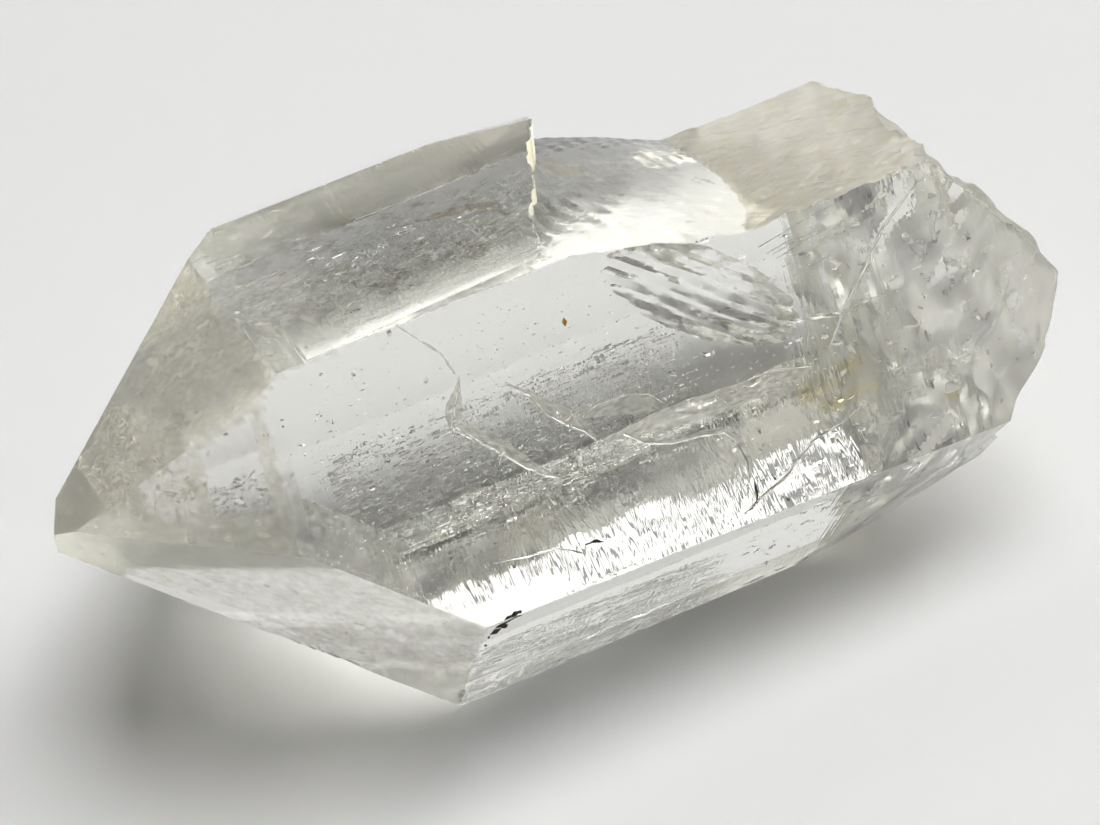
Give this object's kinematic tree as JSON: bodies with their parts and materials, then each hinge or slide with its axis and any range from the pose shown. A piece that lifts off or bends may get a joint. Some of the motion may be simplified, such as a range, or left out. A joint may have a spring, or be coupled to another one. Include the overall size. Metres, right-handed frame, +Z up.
{
  "type": "clear quartz crystal",
  "caption": "Clear quartz crystal lying on a prism face: a six-sided oblique prism with a point at one end, a broken shoulder and a rough broken root.",
  "frame": {"origin": "middle of the bounding box on the surface that the crystal lies on", "axes": "+X along the crystal's long (c) axis from the point to the broken root, +Z up from the prism face it lies on"},
  "size_m": [0.0754, 0.0422, 0.0358],
  "materials": {
    "clear_quartz": "glossy, see-through, with milky fractures"
  },
  "bodies": {
    "root": {"quartz_crystal": "clear_quartz"}
  },
  "joints": []
}
